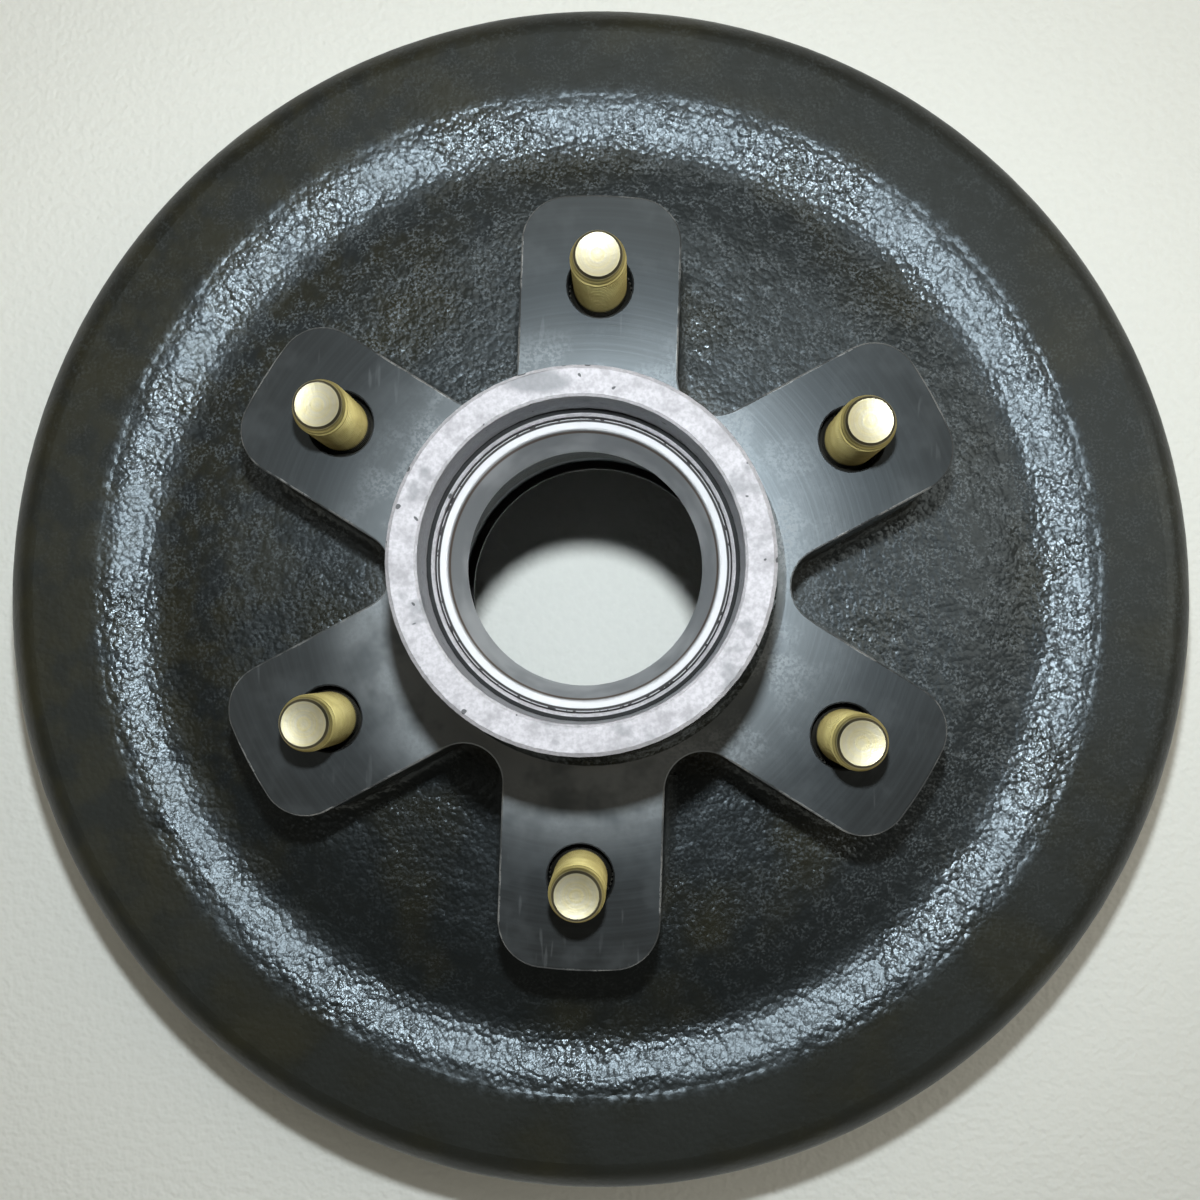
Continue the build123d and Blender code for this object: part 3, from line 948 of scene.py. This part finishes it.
@dataclass
class Casting:
    """The hub and drum, cast in one: its drawn shape with an uneven sand-cast skin."""

    node: bpy.types.Object
    finish: bpy.types.Material
    pad_z: float                 # heights and radii in millimetres, from the frame
    stud_circle_r: float
    hub_core_r: float = 46.0
    bore_clear_r: float = 45.0
    stud_bore: Pair = (8.4, 14.5)             # radius and depth, with a margin
    pad_reach: float = 93.0
    valley_r: float = 136.0
    shoulder_r: float = 155.5
    brake_side_r: float = 151.5
    brake_top_z: float = 60.5
    magnet_r: Pair = (90.4, 132.0)
    magnet_z: float = 64.4
    foot: Pair = (55.0, 26.0)
    edge_z: float = 0.6
    face_margin: float = 0.5                  # how far under the pad faces the machining reaches
    side_lift: float = 4.0                    # from the magnet face to where the pads' sides begin
    upward: float = 0.35                      # least Z of a normal that looks up
    downward: float = -0.2                    # least Z of a normal that doesn't look down
    inward: float = -0.3                      # outward share under which a normal looks inwards
    lump: float = 4.6
    swell: float = 13.0
    seed: float = 17.0
    shares: Pair = (0.65, 0.35)               # of lump and swell
    sink: float = 1.6                         # they sink the skin by this times the zone's depth
    rounds: int = 7

    def zones(self, points: np.ndarray, normals: np.ndarray) -> np.ndarray:
        """Tell which zone each point of the surface lies in.

        Args:
            points: The points, in metres.
            normals: The surface's normals there.

        Returns:
            The place of each point's zone in Zone.
        """
        x, y, z = (points / MM).T
        radius = np.hypot(x, y)
        outward = (normals[:, 0] * x + normals[:, 1] * y) / np.maximum(radius, 0.01)
        turn = np.arctan2(y, x) % SIXTH - SIXTH / 2
        stud_x, stud_y = radius * np.cos(turn) - self.stud_circle_r, radius * np.sin(turn)
        machined = z > self.pad_z - self.face_margin
        bore_r, bore_depth = self.stud_bore
        machined |= (np.hypot(stud_x, stud_y) < bore_r) & (z > self.pad_z - bore_depth)
        machined |= radius < self.bore_clear_r
        machined |= (radius > self.brake_side_r) & (outward < self.inward) & (z < self.brake_top_z)
        machined |= z < self.edge_z
        machined |= (radius > self.magnet_r[0]) & (radius < self.magnet_r[1]) & (z < self.magnet_z)
        machined |= (radius < self.foot[0]) & (z < self.foot[1])
        upward = normals[:, 2] > self.upward
        pad_side = (radius < self.pad_reach) & (z > self.magnet_z + self.side_lift)
        choices = [
            (machined, Zone.MACHINED),
            (upward & (radius > self.hub_core_r) & (radius < self.valley_r), Zone.WEB),
            (upward & (radius >= self.valley_r), Zone.RING),
            (pad_side & (normals[:, 2] > self.downward), Zone.PAD_SIDE),
            ((radius > self.shoulder_r) & (outward > 0), Zone.WALL),
        ]
        order = list(Zone)
        tests = [test for test, _ in choices]
        picks = [order.index(zone) for _, zone in choices]
        return np.select(tests, picks, order.index(Zone.INSIDE))

    def fine(self) -> FineMesh:
        """Split the drawn casting until each zone's edges are short enough.

        Returns:
            The split casting.
        """
        spacing = np.array([zone.spacing for zone in Zone]) * MM
        fine = FineMesh.copied(self.node.data)
        for _ in range(self.rounds):
            ends, side_edge = fine.edges()
            reach = fine.points[ends[:, 1]] - fine.points[ends[:, 0]]
            normal = np.zeros((len(ends), 3))
            both = fine.normals + np.roll(fine.normals, -1, axis=1)
            np.add.at(normal, side_edge.reshape(-1), both.reshape(-1, 3))
            normal /= np.maximum(np.linalg.norm(normal, axis=1, keepdims=True), 1e-9)
            zone = self.zones(fine.points[ends].mean(axis=1), normal)
            marked = np.linalg.norm(reach, axis=1) > spacing[zone]
            if not marked.any():
                break
            fine.split(marked, ends, side_edge)
        return fine

    def skin_depth(self, fine: FineMesh) -> np.ndarray:
        """Give each vertex its skin, which is nothing where a machined face begins.

        Args:
            fine: The split casting.

        Returns:
            About how deep the skin is at each vertex, in metres.
        """
        depths = np.array([zone.depth for zone in Zone])
        centres = fine.points[fine.faces].mean(axis=1)
        depth = depths[self.zones(centres, fine.normals.mean(axis=1))]
        lowest = np.full(len(fine.points), np.inf)
        np.minimum.at(lowest, fine.faces.reshape(-1), np.repeat(depth, 3))
        return lowest * MM

    def sand_skin(self) -> Jig:
        """Make the tree that sinks the skin by lumps of noise.

        Returns:
            The tree.
        """
        jig = Jig("sand_skin")
        lump, swell, seed = jig.named("Lump"), jig.named("Swell"), jig.named("Seed")
        place = jig.add("GeometryNodeInputPosition")
        depth = jig.add("GeometryNodeInputNamedAttribute", {"data_type": "FLOAT"}, {"Name": "skin"})
        clouds = []
        for size, detail in ((lump, 2.0), (swell, 1.0)):
            sockets = {"Vector": place, "W": seed, "Scale": 1.0 / size, "Detail": detail}
            clouds.append(jig.add("ShaderNodeTexNoise", {"noise_dimensions": "4D"}, sockets))
        height = clouds[0] * self.shares[0] + clouds[1] * self.shares[1]
        sink = jig.math("MULTIPLY", height, depth * -self.sink)
        normal = jig.add("GeometryNodeInputNormal")
        scaled = {"Vector": normal, "Scale": sink}
        offset = jig.add("ShaderNodeVectorMath", {"operation": "SCALE"}, scaled)
        moved = jig.add("GeometryNodeSetPosition", {}, {"Geometry": jig.mesh, "Offset": offset})
        jig.close(moved)
        return jig

    def build(self) -> bpy.types.Object:
        """Make the casting and let it stand for its node.

        Returns:
            The piece.
        """
        fine = self.fine()
        mesh = fine.mesh("hub_drum_casting")
        skin = mesh.attributes.new("skin", "FLOAT", "POINT")
        skin.data.foreach_set("value", self.skin_depth(fine))
        before = table_of(mesh.corner_normals, "vector")
        piece = new_object("hub_drum_casting", mesh)
        values = {"Lump": self.lump * MM, "Swell": self.swell * MM, "Seed": self.seed}
        self.sand_skin().run(piece, {**values, "Finish": self.finish})
        bend = table_of(piece.data.corner_normals, "vector") - before
        normals = fine.normals.reshape(-1, 3) + bend
        normals /= np.linalg.norm(normals, axis=1, keepdims=True)
        piece.data.normals_split_custom_set(normals.tolist())
        piece.data.attributes.remove(piece.data.attributes["skin"])
        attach(piece, "root")
        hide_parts(self.node.name)
        return piece


@dataclass
class WheelStud:
    """A pressed-in wheel stud: round head, knurled shank, rolled thread and dished tip."""

    node: bpy.types.Object
    turn_deg: float
    circle_r: float              # millimetres, from the frame
    head_z: float
    tip_z: float
    finish: bpy.types.Material
    head: Pair = (9.5, 5.0)       # radius and height
    head_chamfer: float = 1.0
    shank_r: float = 7.3
    shank_length: float = 7.7
    neck: float = 0.8
    rib_count: int = 40
    rib_r: float = 0.42
    rib_circle_r: float = 7.3
    thread_r: float = 6.35
    thread_depth: float = 0.78
    pitch: float = 1.27
    lead: float = 3.6
    tip_r: float = 4.95
    tip_chamfer: float = 0.6
    dish: float = 0.35
    dish_rings: int = 5
    around: int = 56
    crest: float = 0.14          # shares of the pitch
    flank: float = 0.33
    root: float = 0.20
    crease_deg: float = 24.0
    seam: float = 1e-7           # metres, within the blank
    weld: float = 2e-6           # metres, from the thread to the blank

    @property
    def thread_foot(self) -> float:
        """Return the height at which the thread begins."""
        return self.head_z + self.head[1] + self.shank_length + self.neck

    @property
    def root_r(self) -> float:
        """Return the radius at the bottom of the thread."""
        return self.thread_r - self.thread_depth

    @property
    def chamfer_r(self) -> float:
        """Return the radius at the foot of the tip's chamfer."""
        return self.tip_r + self.tip_chamfer

    def blank(self) -> bpy.types.Mesh:
        """Turn the head and shank below the thread, and the tip above it, round the origin.

        Returns:
            Their mesh.
        """
        head_r, head_h = self.head
        shank_top = self.head_z + head_h + self.shank_length
        lower = [
            (0.0, self.head_z),
            (head_r - self.head_chamfer, self.head_z),
            (head_r, self.head_z + self.head_chamfer),
            (head_r, self.head_z + head_h),
            (self.shank_r, self.head_z + head_h),
            (self.shank_r, shank_top),
            (self.root_r, self.thread_foot),
        ]
        upper = [(self.chamfer_r, self.tip_z - self.tip_chamfer), (self.tip_r, self.tip_z)]
        for ring in range(self.dish_rings - 1, -1, -1):
            share = ring / self.dish_rings
            upper.append((self.tip_r * share, self.tip_z - self.dish * (1 - share**2)))
        mesh = bpy.data.meshes.new("stud_blank")
        shape = bmesh.new()
        for profile in (lower, upper):
            self.turn_profile(shape, profile)
        bmesh.ops.remove_doubles(shape, verts=shape.verts, dist=self.seam)
        shape.to_mesh(mesh)
        shape.free()
        return mesh

    def turn_profile(self, shape: bmesh.types.BMesh, profile: list[tuple[float, float]]) -> None:
        """Turn a profile round the axis.

        Args:
            shape: The mesh that takes it.
            profile: Radii and heights in millimetres, with the metal on the left of its run.
        """
        rings = []
        for radius, height in profile:
            ring = []
            for step in range(self.around):
                angle = math.tau * step / self.around
                place = Vector((radius * math.cos(angle), radius * math.sin(angle), height)) * MM
                ring.append(shape.verts.new(place))
            rings.append(ring)
        for lower, upper in zip(rings, rings[1:]):
            for step in range(self.around):
                after = (step + 1) % self.around
                shape.faces.new((lower[step], lower[after], upper[after], upper[step]))

    def thread(self) -> Jig:
        """Make the tree that winds the thread, presses the knurl and puts the stud in its place.

        Returns:
            The tree.
        """
        jig = Jig("rolled_thread")
        turn, circle = jig.named("Turn"), jig.named("Circle radius")
        around, turns = jig.named("Around", "Int"), jig.named("Turns", "Int")
        crest_r, depth = jig.named("Thread radius"), jig.named("Thread depth")
        pitch, foot, top = jig.named("Pitch"), jig.named("Foot"), jig.named("Top")
        top_r, lead_slope = jig.named("Top radius"), jig.named("Lead slope")
        rib_count, rib_r = jig.named("Ribs", "Int"), jig.named("Rib radius")
        rib_circle, rib_foot = jig.named("Rib circle"), jig.named("Rib foot")
        rib_length = jig.named("Rib length")

        columns, rows = around + 1, turns * 4 + 1
        sockets = {"Size X": 1.0, "Size Y": 1.0, "Vertices X": columns, "Vertices Y": rows}
        sheet = jig.add("GeometryNodeMeshGrid", {}, sockets)
        position = jig.add("GeometryNodeInputPosition")
        spot = jig.add("ShaderNodeSeparateXYZ", {}, {"Vector": position}, "X")
        way_round = spot + 0.5
        row = jig.math("ROUND", (spot.other("Y") + 0.5) * (rows - 1))
        step = row % 4
        whole = jig.math("FLOOR", row / 4)
        on_flank = jig.smallest(jig.largest(step - 1, 0.0), 1.0)
        part = jig.smallest(step, 1.0) * self.crest + on_flank * self.flank
        part = part + jig.smallest(jig.largest(step - 2, 0.0), 1.0) * self.root
        height = foot - pitch + (whole + part + way_round) * pitch
        height = jig.largest(foot, jig.smallest(top, height))
        wound = crest_r - depth * on_flank
        lead = top_r + (top - height) * lead_slope
        run_out = crest_r - depth + (height - foot)
        radius = jig.smallest(wound, lead, run_out)
        angle = way_round * math.tau
        across, upward = radius * jig.math("COSINE", angle), radius * jig.math("SINE", angle)
        place = jig.vector(across, upward, height)
        wound_sheet = jig.add("GeometryNodeSetPosition", {}, {"Geometry": sheet, "Position": place})

        ring = jig.add("GeometryNodeMeshCircle", {}, {"Vertices": rib_count, "Radius": rib_circle})
        sockets = {"Vertices": 4, "Radius": rib_r, "Depth": rib_length}
        rib = jig.add("GeometryNodeMeshCylinder", {}, sockets)
        ribs = jig.add("GeometryNodeInstanceOnPoints", {}, {"Points": ring, "Instance": rib})
        lift = jig.vector(0.0, 0.0, rib_foot + rib_length / 2)
        ribs = jig.add("GeometryNodeTransform", {}, {"Geometry": ribs, "Translation": lift})
        ribs = jig.add("GeometryNodeRealizeInstances", {}, {"Geometry": ribs})

        joined = jig.add("GeometryNodeJoinGeometry", {}, {"Geometry": [wound_sheet, jig.mesh]})
        sockets = {"Geometry": joined, "Distance": self.weld}
        joined = jig.add("GeometryNodeMergeByDistance", {}, sockets)
        joined = jig.add("GeometryNodeJoinGeometry", {}, {"Geometry": [joined, ribs]})
        stand = jig.vector(circle * jig.math("COSINE", turn), circle * jig.math("SINE", turn), 0.0)
        placed = jig.add("GeometryNodeTransform", {}, {"Geometry": joined, "Translation": stand})
        smooth = jig.add("GeometryNodeSetShadeSmooth", {}, {"Geometry": placed, "Shade Smooth": True})
        fold = jig.add("GeometryNodeInputMeshEdgeAngle", {}, {}, "Unsigned Angle")
        crisp = jig.math("GREATER_THAN", fold, math.radians(self.crease_deg))
        sockets = {"Geometry": smooth, "Selection": crisp, "Shade Smooth": False}
        creased = jig.add("GeometryNodeSetShadeSmooth", {"domain": "EDGE"}, sockets)
        jig.close(creased)
        return jig

    def build(self, tree: Jig) -> bpy.types.Object:
        """Make the stud and let it stand for its node.

        Args:
            tree: The thread's tree.

        Returns:
            The piece.
        """
        piece = new_object(f"{self.node.name}_threaded", self.blank())
        top = self.tip_z - self.tip_chamfer
        values = {
            "Turn": math.radians(self.turn_deg),
            "Circle radius": self.circle_r * MM,
            "Around": self.around,
            "Turns": math.ceil((top - self.thread_foot) / self.pitch) + 2,
            "Thread radius": self.thread_r * MM,
            "Thread depth": self.thread_depth * MM,
            "Pitch": self.pitch * MM,
            "Foot": self.thread_foot * MM,
            "Top": top * MM,
            "Top radius": self.chamfer_r * MM,
            "Lead slope": (self.thread_r - self.chamfer_r) / (self.lead - self.tip_chamfer),
            "Ribs": self.rib_count,
            "Rib radius": self.rib_r * MM,
            "Rib circle": self.rib_circle_r * MM,
            "Rib foot": (self.head_z + self.head[1]) * MM,
            "Rib length": self.shank_length * MM,
            "Finish": self.finish,
        }
        tree.run(piece, values)
        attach(piece, "root")
        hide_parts(self.node.name)
        return piece


@dataclass
class BearingCup:
    """The outer race of a tapered bearing, pressed into the hub: its drawn shape, in ground steel."""

    node: bpy.types.Object
    finish: bpy.types.Material

    def build(self) -> bpy.types.Object:
        """Dress the cup and return it."""
        self.node.data.materials.clear()
        self.node.data.materials.append(self.finish)
        return self.node


# ---------------------------------------------------------------- stage
@dataclass(frozen=True)
class Lamp:
    """A round area lamp that points at the hub."""

    name: str
    place: Place                 # millimetres
    width: float
    watts: float
    colour: Colour = (1.0, 0.96, 0.86)
    aim: Place = (0.0, 0.0, 80.0)

    def build(self) -> None:
        """Make the lamp."""
        data = bpy.data.lights.new(self.name, "AREA")
        data.shape = "DISK"
        data.size = self.width * MM
        data.energy = self.watts
        data.color = self.colour
        lamp = new_object(self.name, data)
        lamp.location = Vector(self.place) * MM
        away = Vector(self.aim) * MM - lamp.location
        lamp.rotation_euler = away.to_track_quat("-Z", "Y").to_euler()


@dataclass
class Studio:
    """The floor, the lamps and the camera."""

    eye: Place = (9.48, -17.41, 433.14)         # millimetres
    aim: Place = (2.45, -4.97, 118.0)
    upward: Place = (-0.03214, 0.99868, 0.04014)
    lens_mm: float = 40.25
    sensor_mm: float = 36.0
    floor_half: float = 3.0                     # metres
    lamps: tuple[Lamp, ...] = (
        Lamp("flash", (7.8, 38.0, 435.3), 14.0, 1.75, colour=(0.88, 0.955, 1.0)),
        Lamp("soft_box_back", (0, 800, 1500), 700, 2.8),
        Lamp("soft_box_left", (-750, 100, 1600), 700, 1.0),
        Lamp("soft_box_right", (1050, 350, 1250), 1000, 6.0),
    )
    world_colour: Colour = (1.0, 0.95, 0.80)
    overhead_level: float = 0.10
    horizon_level: float = 0.75
    horizon_band: Pair = (0.36, 0.06)           # Z of the directions between which the level changes
    far_colour: Colour = (0.80, 0.80, 0.775)    # what the camera sees past the floor

    def build(self) -> None:
        """Make the camera, the lamps, the world and the floor."""
        self.camera()
        for lamp in self.lamps:
            lamp.build()
        self.world()
        self.floor()

    def camera(self) -> None:
        """Make the camera that looks down on the hub."""
        eye, aim = Vector(self.eye) * MM, Vector(self.aim) * MM
        back = (eye - aim).normalized()
        right = Vector(self.upward).cross(back).normalized()
        upward = back.cross(right)
        turn = Matrix((right, upward, back)).transposed().to_4x4()
        data = bpy.data.cameras.new("camera")
        data.lens = self.lens_mm
        data.sensor_width = self.sensor_mm
        data.clip_start = 0.01
        camera = new_object("camera", data)
        camera.matrix_world = Matrix.Translation(eye) @ turn
        bpy.context.scene.camera = camera

    def world(self) -> None:
        """Make a surround: pale low down, dim overhead, as light as the far floor where it is seen."""
        world = bpy.data.worlds.new("surround")
        world.use_nodes = True
        bench = Bench(world.node_tree)
        world.node_tree.nodes.clear()
        path = bench.add("ShaderNodeLightPath")
        seen = bench.largest(path, path.other("Is Transmission Ray"))
        way = bench.add("ShaderNodeTexCoord", {}, {}, "Generated")
        height = bench.add("ShaderNodeSeparateXYZ", {}, {"Vector": way}, "Z")
        low_down = bench.rise(height, *self.horizon_band)
        level = bench.between(low_down, self.overhead_level, self.horizon_level)
        strength = bench.between(seen, level, 1.0)
        colour = bench.tint(seen, self.world_colour, self.far_colour)
        back = bench.add("ShaderNodeBackground", {}, {"Color": colour, "Strength": strength})
        bench.add("ShaderNodeOutputWorld", {}, {"Surface": back})
        bpy.context.scene.world = world

    def floor(self) -> None:
        """Make the floor that the open edge stands on."""
        half = self.floor_half
        mesh = bpy.data.meshes.new("floor")
        corners = [(-half, -half, 0), (half, -half, 0), (half, half, 0), (-half, half, 0)]
        mesh.from_pydata(corners, [], [(0, 1, 2, 3)])
        mesh.materials.append(FloorFinish(far_colour=self.far_colour).material())
        floor = new_object("floor", mesh)


def clear_start_objects() -> None:
    """Remove what Blender starts with, beside the frame."""
    for name in ("Cube", "Light", "Camera"):
        if name in bpy.data.objects:
            bpy.data.objects.remove(bpy.data.objects[name])


def main() -> None:
    """Build the pieces round the frame and set the stage."""
    logging.basicConfig(level=logging.INFO, format="%(name)s: %(message)s")
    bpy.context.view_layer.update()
    clear_start_objects()
    bpy.context.scene.view_settings.view_transform = "Standard"
    Studio().build()

    nodes = frame["nodes"]
    mounts = {mount["name"]: mount for mount in frame["record"]["mounts"]}
    hub_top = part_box("hub_drum")[1].z / MM
    stud_low, stud_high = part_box("wheel_stud_1")
    pad_z = mounts["wheel_studs"]["pos_m"][2] / MM
    circle_r = mounts["wheel_studs"]["dims"]["pcd_mm"] / 2
    cap_bore_r = mounts["cap_bore"]["dims"]["r_mm"]

    iron = CastingFinish(hub_top=hub_top, pad_z=pad_z, cap_bore_r=cap_bore_r)
    pieces = [Casting(nodes["hub_drum"], iron.material(), pad_z, circle_r).build()]

    zinc = ZincFinish(tip_z=stud_high.z / MM, circle_r=circle_r, pad_z=pad_z).material()
    tree: Optional[Jig] = None
    for index in range(1, 7):
        node = nodes[f"wheel_stud_{index}"]
        stud = WheelStud(
            node, 90.0 - 60.0 * (index - 1), circle_r, stud_low.z / MM, stud_high.z / MM, zinc
        )
        tree = tree or stud.thread()
        pieces.append(stud.build(tree))

    inner_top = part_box("inner_bearing_cup")[1].z / MM
    grease_and_shade = {"outer": hub_top, "inner": inner_top - GREASE_AND_SHADE_DEPTH}
    for side, (mouth_r, seat_r) in CUP_RADII.items():
        steel = GroundSteelFinish(f"ground_steel_{side}", mouth_r, seat_r, grease_and_shade_z=grease_and_shade[side])
        pieces.append(BearingCup(nodes[f"{side}_bearing_cup"], steel.material()).build())

    for piece in pieces:
        LOG.info("%s: %d faces", piece.name, len(piece.data.polygons))


if __name__ == "__main__":
    main()
